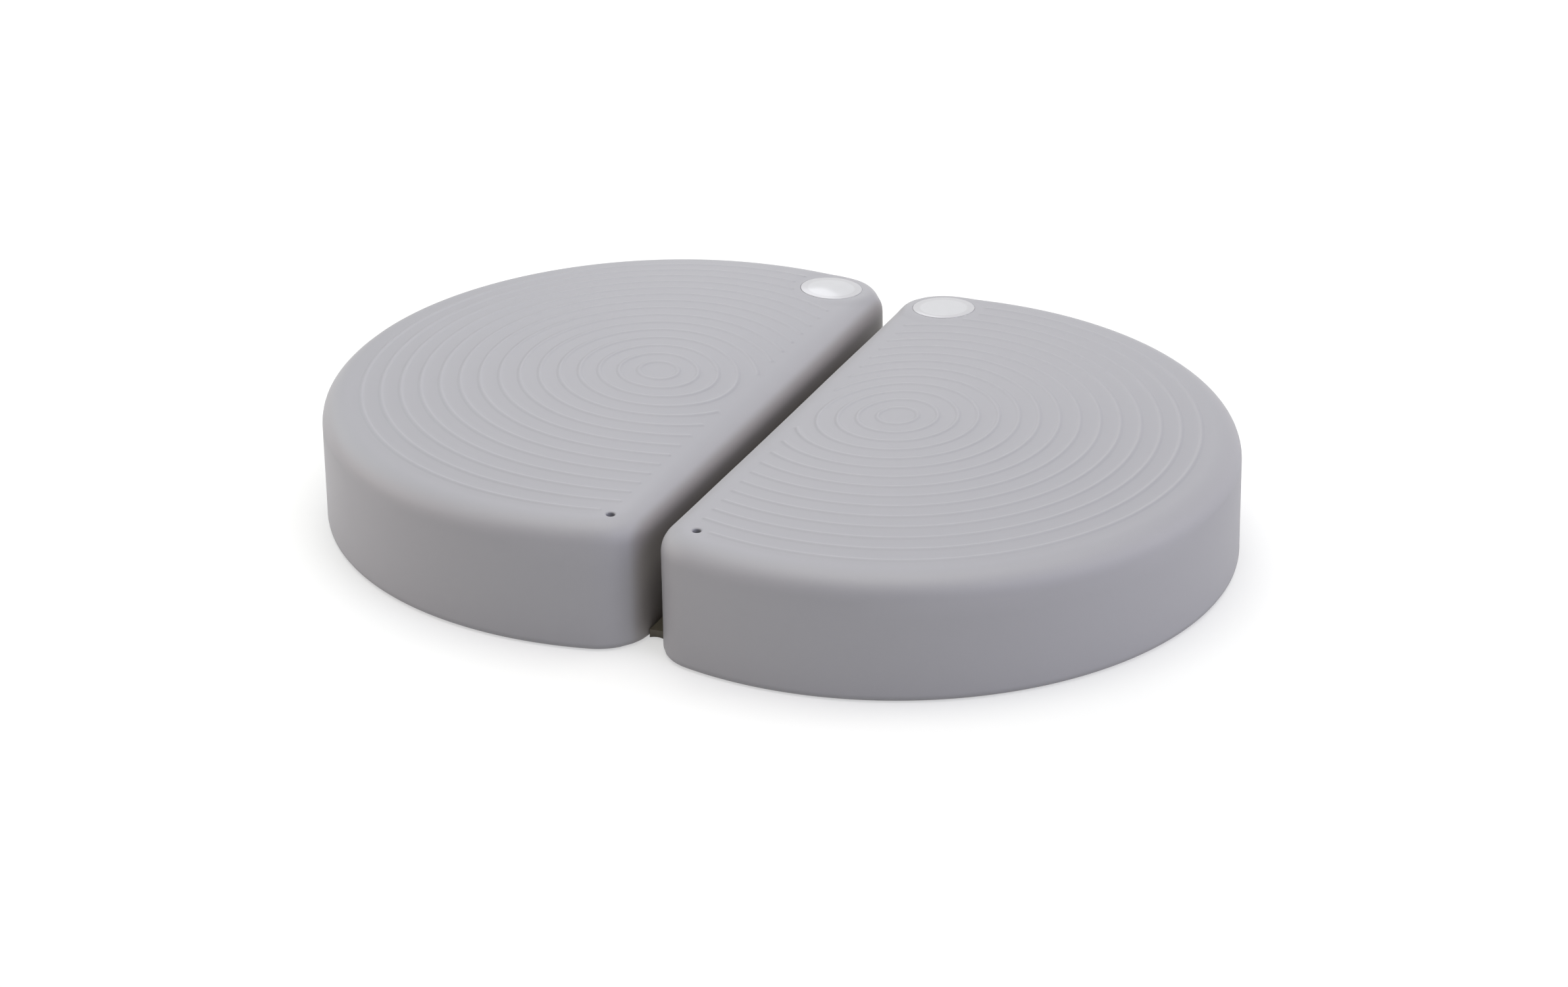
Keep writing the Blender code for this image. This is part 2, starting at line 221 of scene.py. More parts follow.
# Lines and angles that follow from the plan of a pod.
CORNER_X = HALF_GAP + CORNER_RADIUS
CORNER_AWAY = ARC_RADIUS - CORNER_RADIUS
CORNER_Y = math.sqrt(CORNER_AWAY**2 - (ARC_CENTRE_X - CORNER_X) ** 2)
CORNER_ANGLE = math.atan2(CORNER_Y, CORNER_X - ARC_CENTRE_X)
EDGE_RADIUS = ARC_RADIUS - TOP_EDGE_RADIUS
EDGE_CORNER = CORNER_RADIUS - TOP_EDGE_RADIUS
EDGE_SIDE_X = HALF_GAP + TOP_EDGE_RADIUS
STRIP_AWAY = ARC_CENTRE_X - RIB_FIELD_X
STRIP_END_Y = CORNER_Y + math.sqrt(EDGE_CORNER**2 - (CORNER_X - RIB_FIELD_X) ** 2)
STRIP_END_RADIUS = math.hypot(STRIP_AWAY, STRIP_END_Y)
STRIP_END_TURN = math.pi - math.acos((CORNER_X - RIB_FIELD_X) / EDGE_CORNER)
EDGE_HALF_LENGTH = CORNER_Y + EDGE_CORNER * (math.pi - STRIP_END_TURN)

# A turn that lies past every rib's end.
NEVER_REACHED = 10.0

# Floor: half its width, how far it lies under the pods, so that the two surfaces never share a
# plane, and where its own glow starts to rise and is full, so that it stays white beyond the lamps.
FLOOR_HALF_WIDTH = 20.0
FLOOR_BELOW = 0.0002
FLOOR_PALER_FROM = 1.0
FLOOR_WHITE_BY = 2.0
FLOOR_GREY = (0.5, 0.5, 0.5)
FLOOR_ROUGHNESS = 0.9
WHITE = (1.0, 1.0, 1.0)
WORLD_GLOW = 0.01

# Camera, at the photograph's place.
LENS = 113.16
SENSOR_WIDTH = 36.0
VIEW_AZIMUTH = math.radians(24.634)
VIEW_ELEVATION = math.radians(25.754)
VIEW_ROLL = math.radians(-0.871)
VIEW_DISTANCE = 2.7398
VIEW_RIGHT = 0.0028
VIEW_UP = 0.01476


class Pod(NamedTuple):
    """What differs between the pods: the air in them, and where their fittings were set."""

    name: str
    side: int
    edge_height: float
    swell: float
    valve: tuple
    badge: tuple
    badge_dome: float


PODS = (
    Pod("left", -1, 0.0718, 0.0095, (0.0227, -0.1618), (0.0356, 0.1547), 0.0005),
    Pod("right", 1, 0.0710, 0.0076, (0.0267, -0.1606), (0.0343, 0.1557), 0.0002),
)


# Plan and heights of a pod, seen as the right one


def past_edge(x, y):
    """How far a point of the plan lies outside the line where the top edge starts to turn down."""
    away_x = x - ARC_CENTRE_X
    if math.atan2(abs(y), away_x) <= CORNER_ANGLE:
        past = math.hypot(away_x, y) - EDGE_RADIUS
    elif abs(y) <= CORNER_Y:
        past = EDGE_SIDE_X - x
    else:
        past = math.hypot(x - CORNER_X, abs(y) - CORNER_Y) - EDGE_CORNER
    return max(past, 0.0)


def outward(x, y):
    """Direction in the plan that points straight out of the pod's side, from a point of its edge."""
    away_x = x - ARC_CENTRE_X
    if math.atan2(abs(y), away_x) <= CORNER_ANGLE:
        return Vector((away_x, y)).normalized()
    if abs(y) <= CORNER_Y:
        return Vector((-1.0, 0.0))
    return Vector((x - CORNER_X, y - math.copysign(CORNER_Y, y))).normalized()


def crown_height(pod, x, y):
    """Height of the inflated top over a point of the plan."""
    away = math.hypot(x - ARC_CENTRE_X, y) / EDGE_RADIUS
    fullness = (1.0 - away**SWELL_POWER) * (1.0 - math.exp((EDGE_SIDE_X - x) / SWELL_RUN))
    return pod.edge_height + pod.swell * fullness - OUTWARD_FALL * (x - ARC_CENTRE_X)


def edge_drop(pod, start, direction, share):
    """Fall from the start of the top edge to this share of the way out, without a crease there."""
    step = 0.01 * TOP_EDGE_RADIUS
    beyond = crown_height(pod, start[0] + step * direction.x, start[1] + step * direction.y)
    slope = (crown_height(pod, *start) - beyond) / step
    return TOP_EDGE_RADIUS * (1.0 - math.sqrt(1.0 - share**2) + slope * share * (1.0 - share))


def lie_flat(pod, x, y, z):
    """Lets the skin round the badge lie in a plane, a little lower than the badge's rim."""
    off_x = x - pod.badge[0]
    off_y = y - pod.badge[1]
    flatness = 1.0 - smooth_step(FLAT_WITHIN, FLAT_FADES_BY, math.hypot(off_x, off_y))
    if flatness == 0.0:
        return z
    middle = crown_height(pod, *pod.badge) - BADGE_SINK - BADGE_PROUD
    plane = middle - BADGE_LEAN[0] * off_x - BADGE_LEAN[1] * off_y
    return z + flatness * (plane - z)


def surface_height(pod, x, y):
    """Height of the top, its rounded edge and the flat round the badge included."""
    past = min(past_edge(x, y), TOP_EDGE_RADIUS)
    direction = outward(x, y)
    start = (x - past * direction.x, y - past * direction.y)
    drop = edge_drop(pod, start, direction, past / TOP_EDGE_RADIUS)
    return lie_flat(pod, x, y, crown_height(pod, *start) - drop)


def badge_turn():
    """Turn that leans a badge with the top."""
    return Vector((0.0, 0.0, 1.0)).rotation_difference(Vector((*BADGE_LEAN, 1.0)))


def badge_back(pod):
    """Where the middle of a badge's back lies."""
    return Vector((*pod.badge, crown_height(pod, *pod.badge) - BADGE_SINK - BADGE_THICKNESS))


def from_centre(spot):
    """Distance and turn of a fitting from the arc's centre."""
    away_x = spot[0] - ARC_CENTRE_X
    return math.hypot(away_x, spot[1]), math.atan2(abs(spot[1]), away_x)


def ring_end(radius):
    """Half the turn of one ring of the top: all round, or as far as the plain strip or the corner."""
    if radius <= STRIP_AWAY:
        return math.pi
    if radius <= STRIP_END_RADIUS:
        return math.pi - math.acos(STRIP_AWAY / radius)
    cosine = (radius**2 + CORNER_AWAY**2 - EDGE_CORNER**2) / (2.0 * radius * CORNER_AWAY)
    return CORNER_ANGLE + math.acos(min(cosine, 1.0))


def stop_turn(radius, away, turn, keep):
    """Turn at which a ring of this radius comes within keep of a point, short of that point."""
    cosine = (away**2 + radius**2 - keep**2) / (2.0 * away * radius)
    if cosine >= 1.0:
        return math.pi
    return turn - math.acos(cosine)


def even_steps(start, end, steps):
    """Evenly spaced values from start to end, without start itself."""
    return [start + (end - start) * i / steps for i in range(1, steps + 1)]


def ring_radii():
    """Radii of the rings of the top: close together over each rib, wider between ribs.

    Rings that end on the tangent or on the corner are placed by where their ends come.
    """
    radii = even_steps(0.0, RIB_PITCH - RIB_FOOT, PLAIN_STEPS)
    for number in range(1, RIB_COUNT + 1):
        middle = number * RIB_PITCH
        foot = middle + RIB_FOOT
        next_foot = middle + RIB_PITCH - RIB_FOOT
        radii += even_steps(middle - RIB_FOOT, foot, RIB_STEPS)
        if number == RIB_COUNT:
            break
        if foot < STRIP_AWAY < next_foot:
            last = math.sqrt(next_foot**2 - STRIP_AWAY**2)
            radii.append(STRIP_AWAY)
            radii += [math.hypot(STRIP_AWAY, y) for y in even_steps(0.0, last, TANGENT_STEPS)]
        else:
            radii += even_steps(foot, next_foot, PLAIN_STEPS)
    radii.append(STRIP_END_RADIUS)
    for turn in even_steps(STRIP_END_TURN - CORNER_ANGLE, 0.0, CORNER_TURN_STEPS):
        across = EDGE_CORNER * math.sin(turn)
        radii.append(math.hypot(CORNER_AWAY + EDGE_CORNER * math.cos(turn), across))
    return radii


def column_turns(pod):
    """Where the columns cross a ring, from -1 at its near end to 1 at its far end.

    They lie close together where ribs end: at the plain strip, the valve and the badge.
    """
    radius = RIB_COUNT * RIB_PITCH
    half_length = ring_end(radius) * radius
    stops = []
    for number in range(1, RIB_COUNT + 1):
        ring = number * RIB_PITCH
        stop = stop_turn(ring, *from_centre(pod.badge), BADGE_RADIUS + BADGE_TO_RIB)
        if stop < ring_end(ring):
            stops.append((1.0 - stop / ring_end(ring)) * half_length)
    badge_zone = (min(stops) - BADGE_ZONE_MARGIN, max(stops) + BADGE_ZONE_MARGIN)
    away = 0.0
    step = FINE_STEP
    turns = []
    while away < half_length:
        turns.append(1.0 - away / half_length)
        if away < STRIP_ZONE or badge_zone[0] < away < badge_zone[1]:
            step = FINE_STEP
        else:
            step = min(step * STEP_GROWTH, COARSE_STEP)
        away += step
    return [-turn for turn in turns] + [0.0] + turns[::-1]


def edge_point(length):
    """Point of the top edge's start line at this length from the middle of the straight side."""
    if abs(length) <= CORNER_Y:
        return EDGE_SIDE_X, length
    turn = math.pi - (abs(length) - CORNER_Y) / EDGE_CORNER
    y = CORNER_Y + EDGE_CORNER * math.sin(turn)
    return CORNER_X + EDGE_CORNER * math.cos(turn), math.copysign(y, length)


# Mesh helpers


def add_face(bm, *corners):
    """Adds a face, leaving out a corner that comes twice."""
    distinct = list(dict.fromkeys(corners))
    if len(distinct) > 2:
        bm.faces.new(distinct)


def join_rows(bm, first, second):
    """Faces between two open rows of as many points."""
    for i in range(len(first) - 1):
        add_face(bm, first[i], first[i + 1], second[i + 1], second[i])


def join_loops(bm, first, second):
    """Faces between two closed rings of as many points."""
    join_rows(bm, first + first[:1], second + second[:1])


def add_loop(bm, upper, points):
    """A new closed ring of points, joined to the one before it."""
    lower = [bm.verts.new(point) for point in points]
    join_loops(bm, upper, lower)
    return lower


def close_loop(bm, loop, point):
    """Closes a ring with a fan of triangles about a point."""
    tip = bm.verts.new(point)
    for i in range(len(loop)):
        add_face(bm, tip, loop[i], loop[(i + 1) % len(loop)])


def circle(centre, radius, steps):
    turns = [2.0 * math.pi * i / steps for i in range(steps)]
    return [
        (centre[0] + radius * math.cos(t), centre[1] + radius * math.sin(t)) for t in turns
    ]


def quarter_round(radius, steps):
    """(inset, height) of a rounded edge, from the upright wall to the flat that it turns into."""
    turns = [0.5 * math.pi * i / steps for i in range(steps + 1)]
    return [(radius * (1.0 - math.cos(t)), radius * math.sin(t)) for t in turns]


def smooth_step(low, high, value):
    share = min(max((value - low) / (high - low), 0.0), 1.0)
    return share * share * (3.0 - 2.0 * share)


def finished_mesh(name, bm):
    bmesh.ops.recalc_face_normals(bm, faces=bm.faces[:])
    mesh = bpy.data.meshes.new(name)
    bm.to_mesh(mesh)
    bm.free()
    return mesh


def shade(mesh):
    mesh.shade_smooth()
    mesh.set_sharp_from_angle(angle=SMOOTH_ANGLE)


def add_piece(name, mesh, finish=None):
    made = bpy.data.objects.new(name, mesh)
    bpy.context.scene.collection.objects.link(made)
    if finish is not None:
        mesh.materials.clear()
        mesh.materials.append(finish)
    return made


def for_side(mesh, side):
    """Turns a right pod's mesh over in X for the left pod, with its faces still outwards."""
    if side < 0:
        mesh.transform(Matrix.Diagonal((-1.0, 1.0, 1.0, 1.0)))
        mesh.flip_normals()
    return mesh


# Pod skin


def add_top(bm, pod):
    """The crowned top, as far as its edge turns down. Returns the points of that line in order."""
    turns = column_turns(pod)
    centre = bm.verts.new((ARC_CENTRE_X, 0.0, crown_height(pod, ARC_CENTRE_X, 0.0)))
    radii = ring_radii()
    rings = []
    for radius in radii:
        end = ring_end(radius)
        closed = radius <= STRIP_AWAY
        ring = []
        for turn in turns[:-1] if closed else turns:
            x = ARC_CENTRE_X + radius * math.cos(turn * end)
            y = radius * math.sin(turn * end)
            ring.append(bm.verts.new((x, y, crown_height(pod, x, y))))
        if closed:
            ring.append(ring[0])
        rings.append(ring)
    for i in range(len(turns) - 1):
        add_face(bm, centre, rings[0][i], rings[0][i + 1])
    for inner, outer in zip(rings, rings[1:]):
        join_rows(bm, inner, outer)

    tangent = radii.index(STRIP_AWAY)
    strip_end = radii.index(STRIP_END_RADIUS)
    near = [ring[0] for ring in rings[tangent : strip_end + 1]]
    far = [ring[-1] for ring in rings[tangent + 1 : strip_end + 1]]
    side_line = add_margin(bm, pod, near[::-1] + far)

    near_corner = [ring[0] for ring in rings[strip_end + 1 : -1]]
    far_corner = [ring[-1] for ring in rings[strip_end + 1 : -1]]
    return rings[-1] + far_corner[::-1] + side_line[::-1] + near_corner


def add_margin(bm, pod, strip):
    """The plain margin between the ribs' ends and the side by the gap. Returns its outer line."""
    row = strip
    for step in range(1, MARGIN_STEPS + 1):
        share = step / MARGIN_STEPS
        next_row = [strip[0]]
        for start in strip[1:-1]:
            end_x, end_y = edge_point(start.co.y / STRIP_END_Y * EDGE_HALF_LENGTH)
            x = start.co.x + (end_x - start.co.x) * share
            y = start.co.y + (end_y - start.co.y) * share
            next_row.append(bm.verts.new((x, y, crown_height(pod, x, y))))
        next_row.append(strip[-1])
        join_rows(bm, row, next_row)
        row = next_row
    return row


def side_points(pod, start):
    """Points down the rounded edge, the wall and the base's edge, from a point of the edge's start."""
    x, y, z = start
    direction = outward(x, y)
    shares = [math.cos(turn) for turn in even_steps(0.5 * math.pi, 0.0, TOP_EDGE_STEPS)]
    profile = [
        (TOP_EDGE_RADIUS * share, z - edge_drop(pod, (x, y), direction, share)) for share in shares
    ]
    shoulder = profile[-1][1]
    profile += [
        (TOP_EDGE_RADIUS, level) for level in even_steps(shoulder, BASE_EDGE_RADIUS, WALL_STEPS)
    ]
    profile += [
        (TOP_EDGE_RADIUS - inset, BASE_EDGE_RADIUS - fall)
        for inset, fall in quarter_round(BASE_EDGE_RADIUS, BASE_EDGE_STEPS)[1:]
    ]
    return [(x + direction.x * out, y + direction.y * out, level) for out, level in profile]


def add_side_and_base(bm, pod, edge_line):
    upper = edge_line
    for points in zip(*[side_points(pod, start.co) for start in edge_line]):
        upper = add_loop(bm, upper, points)
    rim = [(v.co.x - ARC_CENTRE_X, v.co.y) for v in upper]
    for share in BASE_SHARES:
        upper = add_loop(bm, upper, [(ARC_CENTRE_X + x * share, y * share, 0.0) for x, y in rim])
    close_loop(bm, upper, (ARC_CENTRE_X, 0.0, 0.0))


def settle(bm, pod):
    """Lets the walls and the top wander a little, as an inflated skin does, but not at the fittings."""
    drift = Vector((0.0, 0.0, 10.0 * pod.side))
    for vert in bm.verts:
        x, y, z = vert.co
        from_badge = math.hypot(x - pod.badge[0], y - pod.badge[1])
        from_valve = math.hypot(x - pod.valve[0], y - pod.valve[1])
        clear = smooth_step(*WANDERS_FROM_BADGE, from_badge)
        clear *= smooth_step(*WANDERS_FROM_VALVE, from_valve)
        out = outward(x, y)
        wall = smooth_step(*WANDERS_FROM_BASE, z)
        wall *= smooth_step(*WANDERS_FROM_EDGE, past_edge(x, y))
        sway = noise.noise(Vector((x, y, 0.6 * z)) * WALL_WAVES_PER_METRE + drift)
        vert.co.x += out.x * wall * WALL_WANDER * sway
        vert.co.y += out.y * wall * WALL_WANDER * sway
        top = smooth_step(TOP_BAND_Z, pod.edge_height, z) * clear
        sway = noise.noise(Vector((x, y, 3.0)) * TOP_WAVES_PER_METRE + drift)
        vert.co.z += top * TOP_WANDER * sway
        if z > TOP_BAND_Z:
            vert.co.z = lie_flat(pod, x, y, vert.co.z)


def open_patch(bm, centre, radius):
    """Takes away the top's faces that reach within radius of a point. Returns the edges left open."""
    taken = set()
    for vert in bm.verts:
        x, y, z = vert.co
        if z > TOP_BAND_Z and math.hypot(x - centre[0], y - centre[1]) < radius:
            taken.update(vert.link_faces)
    bmesh.ops.delete(bm, geom=list(taken), context="FACES")
    return [edge for edge in bm.edges if len(edge.link_faces) == 1]


def add_ring_in_patch(bm, pod, edges, centre, radius, steps):
    """A ring on the top's surface, joined to the patch's open edges by small triangles."""
    ring = [bm.verts.new((x, y, surface_height(pod, x, y))) for x, y in circle(centre, radius, steps)]
    rim = [bm.edges.new((ring[i], ring[(i + 1) % steps])) for i in range(steps)]
    bmesh.ops.triangle_fill(bm, edges=edges + rim, use_beauty=True, normal=(0.0, 0.0, 1.0))
    return ring


def add_loops_inwards(bm, pod, ring, centre, levels, steps):
    """Follows (radius, depth, z) levels inwards from a ring. A z of None stays under the surface."""
    upper = ring
    for radius, depth, z in levels:
        points = []
        for x, y in circle(centre, radius, steps):
            points.append((x, y, surface_height(pod, x, y) - depth if z is None else z))
        upper = add_loop(bm, upper, points)
    return upper


def add_valve_mouth(bm, pod):
    """The softly flared mouth, and the pocket under its lip that holds the plug."""
    steps = MOUTH_STEPS_ROUND
    outer = MOUTH_RADIUS + MOUTH_FLARE
    edges = open_patch(bm, pod.valve, outer + MOUTH_PATCH_MARGIN)
    ring = add_ring_in_patch(bm, pod, edges, pod.valve, outer, steps)
    levels = []
    for turn in even_steps(0.0, 0.5 * math.pi, MOUTH_FLARE_STEPS):
        across = outer - MOUTH_FLARE * math.sin(turn)
        levels.append((across, MOUTH_FLARE_DEPTH * (1.0 - math.cos(turn)), None))
    lip_z = surface_height(pod, *pod.valve) - LIP_DEPTH
    levels += [
        (MOUTH_RADIUS, 0.0, lip_z + LIP_BEVEL),
        (MOUTH_RADIUS + LIP_BEVEL, 0.0, lip_z),
        (POCKET_RADIUS, 0.0, lip_z),
        (POCKET_RADIUS, 0.0, POCKET_BOTTOM_Z),
    ]
    last = add_loops_inwards(bm, pod, ring, pod.valve, levels, steps)
    close_loop(bm, last, (*pod.valve, POCKET_BOTTOM_Z))


def add_badge_seat(bm, pod):
    """The shallow flat seat, with a rounded edge, that the badge lies in."""
    steps = SEAT_STEPS_ROUND
    seat = BADGE_RADIUS + BADGE_FIT
    outer = seat + SEAT_ROUND
    edges = open_patch(bm, pod.badge, outer + SEAT_BLEND + SEAT_PATCH_MARGIN)
    ring = add_ring_in_patch(bm, pod, edges, pod.badge, outer + SEAT_BLEND, steps)
    levels = [(outer + 0.5 * SEAT_BLEND, 0.0, None), (outer, 0.0, None)]
    for turn in even_steps(0.0, 0.5 * math.pi, SEAT_ROUND_STEPS):
        across = outer - SEAT_ROUND * math.sin(turn)
        levels.append((across, SEAT_ROUND * (1.0 - math.cos(turn)), None))
    depth = BADGE_THICKNESS - BADGE_PROUD + SEAT_DEPTH
    levels += [(seat, depth, None), (0.8 * seat, depth, None)]
    last = add_loops_inwards(bm, pod, ring, pod.badge, levels, steps)
    close_loop(bm, last, badge_back(pod) - Vector((0.0, 0.0, SEAT_DEPTH)))


def mark_edge(mesh):
    """Keeps on each point, from 0 to 1, how far over the top's edge it lies and how much painted light
    it gets there.
    """
    turns = []
    painted_lights = []
    for vert in mesh.vertices:
        share = min(past_edge(vert.co.x, vert.co.y) / TOP_EDGE_RADIUS, 1.0)
        turns.append(smooth_step(0.0, 1.0, share))
        # Painted light on the top edge's rounding: none on the top, most partway round, none on the
        # walls.
        painted_light = EDGE_PAINTED_LIGHT_SCALE * share**2 * math.sqrt(1.0 - share**2)
        painted_lights.append(painted_light if vert.co.z > TOP_EDGE_LOWEST_Z else 0.0)
    mesh.attributes.new("edge_turn", "FLOAT", "POINT").data.foreach_set("value", turns)
    mesh.attributes.new("edge_painted_light", "FLOAT", "POINT").data.foreach_set("value", painted_lights)


def pod_skin_mesh(pod):
    """One pod's skin without its ribs: a closed form with the valve's pocket and the badge's seat."""
    bm = bmesh.new()
    edge_line = add_top(bm, pod)
    add_side_and_base(bm, pod, edge_line)
    settle(bm, pod)
    add_valve_mouth(bm, pod)
    add_badge_seat(bm, pod)
    mesh = finished_mesh("pod_skin", bm)
    mark_edge(mesh)
    return mesh


# Node helpers


def add_node(tree, kind, inputs=None, **options):
    """Adds a node with its options, and fills its inputs from values or from other nodes' sockets."""
    made = tree.nodes.new(kind)
    for name, value in options.items():
        setattr(made, name, value)
    for key, value in (inputs or {}).items():
        if isinstance(value, bpy.types.NodeSocket):
            tree.links.new(value, made.inputs[key])
        else:
            made.inputs[key].default_value = value
    return made


def maths(tree, operation, *values):
    return add_node(
        tree, "ShaderNodeMath", dict(enumerate(values)), operation=operation
    ).outputs[0]


def square(tree, value):
    return maths(tree, "POWER", value, 2.0)


def distance(tree, x, y):
    return maths(tree, "SQRT", maths(tree, "ADD", square(tree, x), square(tree, y)))


def new_group(name, kind, inputs, outputs):
    """A node group with named sockets: {name: (socket type, default)} in, {name: type} out."""
    tree = bpy.data.node_groups.new(name, kind)
    for label, (socket, value) in inputs.items():
        made = tree.interface.new_socket(label, in_out="INPUT", socket_type=socket)
        if value is not None:
            made.default_value = value
    for label, socket in outputs.items():
        tree.interface.new_socket(label, in_out="OUTPUT", socket_type=socket)
    return tree, tree.nodes.new("NodeGroupInput").outputs, tree.nodes.new("NodeGroupOutput").inputs


# Ribs, raised on a skin


def turn_before(tree, turn, cosine, highest):
    """A turn less the angle with this cosine, or a turn never reached where the cosine is too high."""
    angle = maths(tree, "ARCCOSINE", maths(tree, "MINIMUM", cosine, 1.0))
    passes = maths(tree, "MULTIPLY", maths(tree, "GREATER_THAN", cosine, highest), NEVER_REACHED)
    return maths(tree, "ADD", maths(tree, "SUBTRACT", turn, angle), passes)


def stop_nodes(tree, radius, away, turn, keep):
    """Turn at which a rib stops short of a fitting, or a turn never reached where it passes clear."""
    near_square = maths(tree, "SUBTRACT", square(tree, away), square(tree, keep))
    top = maths(tree, "ADD", near_square, square(tree, radius))
    bottom = maths(tree, "MULTIPLY", maths(tree, "MULTIPLY", away, radius), 2.0)
    return turn_before(tree, turn, maths(tree, "DIVIDE", top, bottom), 1.0)


def rib_tree():
    """Raises concentric ribs with round ends on whatever lies above the walls."""
    length = "NodeSocketFloat"
    tree, given, result = new_group(
        "moulded ribs",
        "GeometryNodeTree",
        {
            "Geometry": ("NodeSocketGeometry", None),
            "Rib Pitch": (length, RIB_PITCH),
            "Rib Count": (length, float(RIB_COUNT)),
            "Rib Foot": (length, RIB_FOOT),
            "Rib Height": (length, RIB_HEIGHT),
            "Centre X": (length, ARC_CENTRE_X),
            "Strip Distance": (length, STRIP_AWAY),
            "Lowest Z": (length, TOP_BAND_Z),
            "Valve Distance": (length, 1.0),
            "Valve Turn": (length, 0.0),
            "Valve Keep": (length, 0.0),
            "Badge Distance": (length, 1.0),
            "Badge Turn": (length, 0.0),
            "Badge Keep": (length, 0.0),
            "Finish": ("NodeSocketMaterial", None),
        },
        {"Geometry": "NodeSocketGeometry"},
    )
    tree.is_modifier = True
    place = add_node(tree, "GeometryNodeInputPosition").outputs[0]
    x, y, z = add_node(tree, "ShaderNodeSeparateXYZ", {0: place}).outputs
    away_x = maths(tree, "SUBTRACT", x, given["Centre X"])
    away = distance(tree, away_x, y)
    turn = maths(tree, "ARCTAN2", maths(tree, "ABSOLUTE", y), away_x)

    number = maths(tree, "ROUND", maths(tree, "DIVIDE", away, given["Rib Pitch"]))
    number = maths(tree, "MINIMUM", maths(tree, "MAXIMUM", number, 1.0), given["Rib Count"])
    rib = maths(tree, "MULTIPLY", number, given["Rib Pitch"])

    ratio = maths(tree, "DIVIDE", given["Strip Distance"], rib)
    # Ribs too small to reach the plain strip stay whole.
    strip_stop = turn_before(tree, math.pi, ratio, 0.9999)
    valve_stop, badge_stop = [
        stop_nodes(tree, rib, *[given[f"{fitting} {part}"] for part in ("Distance", "Turn", "Keep")])
        for fitting in ("Valve", "Badge")
    ]
    near = maths(tree, "LESS_THAN", y, 0.0)
    fitting_stop = add_node(
        tree, "ShaderNodeMix", {0: near, 2: badge_stop, 3: valve_stop}, data_type="FLOAT"
    ).outputs[0]
    stop = maths(tree, "MINIMUM", strip_stop, fitting_stop)

    past = maths(tree, "MULTIPLY", maths(tree, "SUBTRACT", turn, stop), rib)
    past = maths(tree, "MAXIMUM", maths(tree, "ADD", past, given["Rib Foot"]), 0.0)
    across = maths(tree, "SUBTRACT", away, rib)
    off_line = distance(tree, across, past)
    share = maths(tree, "MINIMUM", maths(tree, "DIVIDE", off_line, given["Rib Foot"]), 1.0)
    wave = maths(tree, "COSINE", maths(tree, "MULTIPLY", share, math.pi))
    bump = maths(tree, "MULTIPLY_ADD", wave, 0.5, 0.5)
    bump = maths(tree, "MULTIPLY", bump, maths(tree, "GREATER_THAN", z, given["Lowest Z"]))
    rise = maths(tree, "MULTIPLY", bump, given["Rib Height"])

    offset = add_node(tree, "ShaderNodeCombineXYZ", {2: rise}).outputs[0]
    raised = add_node(
        tree, "GeometryNodeSetPosition", {"Geometry": given["Geometry"], "Offset": offset}
    )
    stored = add_node(
        tree,
        "GeometryNodeStoreNamedAttribute",
        {"Geometry": raised.outputs[0], "Name": "rib_rise", "Value": bump},
        data_type="FLOAT",
        domain="POINT",
    )
    real = add_node(tree, "GeometryNodeRealizeInstances", {"Geometry": stored.outputs[0]})
    done = add_node(
        tree, "GeometryNodeSetMaterial", {"Geometry": real.outputs[0], "Material": given["Finish"]}
    )
    tree.links.new(done.outputs[0], result["Geometry"])
    return tree


def raise_ribs(skin, pod, tree, finish):
    """Runs the rib tree on a skin, and returns the result as a plain mesh."""
    values = {
        "Valve Keep": VALVE_TO_RIB,
        "Badge Keep": BADGE_RADIUS + BADGE_TO_RIB,
        "Finish": finish,
    }
    for fitting, spot in (("Valve", pod.valve), ("Badge", pod.badge)):
        values[f"{fitting} Distance"], values[f"{fitting} Turn"] = from_centre(spot)
    modifier = skin.modifiers.new("ribs", "NODES")
    modifier.node_group = tree
    for socket in tree.interface.items_tree:
        if socket.in_out == "INPUT" and socket.name in values:
            modifier[socket.identifier] = values[socket.name]
    skin.update_tag()
    evaluated = skin.evaluated_get(bpy.context.evaluated_depsgraph_get())
    mesh = bpy.data.meshes.new_from_object(evaluated)
    skin.modifiers.remove(modifier)
    return mesh


# Badges, plugs and web


def turned(name, profile, steps):
    """A closed round piece about Z from (radius, z) points; a radius of 0 closes an end."""
    bm = bmesh.new()
    upper = None
    for radius, z in profile:
        if radius == 0.0:
            if upper is not None:
                close_loop(bm, upper, (0.0, 0.0, z))
                upper = None
            else:
                start_z = z
            continue
        points = [(x, y, z) for x, y in circle((0.0, 0.0), radius, steps)]
        if upper is None:
            upper = [bm.verts.new(point) for point in points]
            close_loop(bm, upper, (0.0, 0.0, start_z))
        else:
            upper = add_loop(bm, upper, points)
    return finished_mesh(name, bm)


def badge_profile(dome):
    """Flat back, rounded rim, a flat band along it, and a face that domes very slightly."""
    rim = [
        (BADGE_RADIUS - inset, BADGE_THICKNESS - BADGE_RIM + rise)
        for inset, rise in quarter_round(BADGE_RIM, BADGE_RIM_STEPS)
    ]
    face = [
        (BADGE_FACE_RADIUS * share, BADGE_THICKNESS + dome * (1.0 - share**2))
        for share in BADGE_FACE_SHARES
    ]
    foot = [(BADGE_RADIUS - BADGE_FOOT_BEVEL, 0.0), (BADGE_RADIUS, BADGE_FOOT_BEVEL)]
    return [(0.0, 0.0)] + foot + rim + face


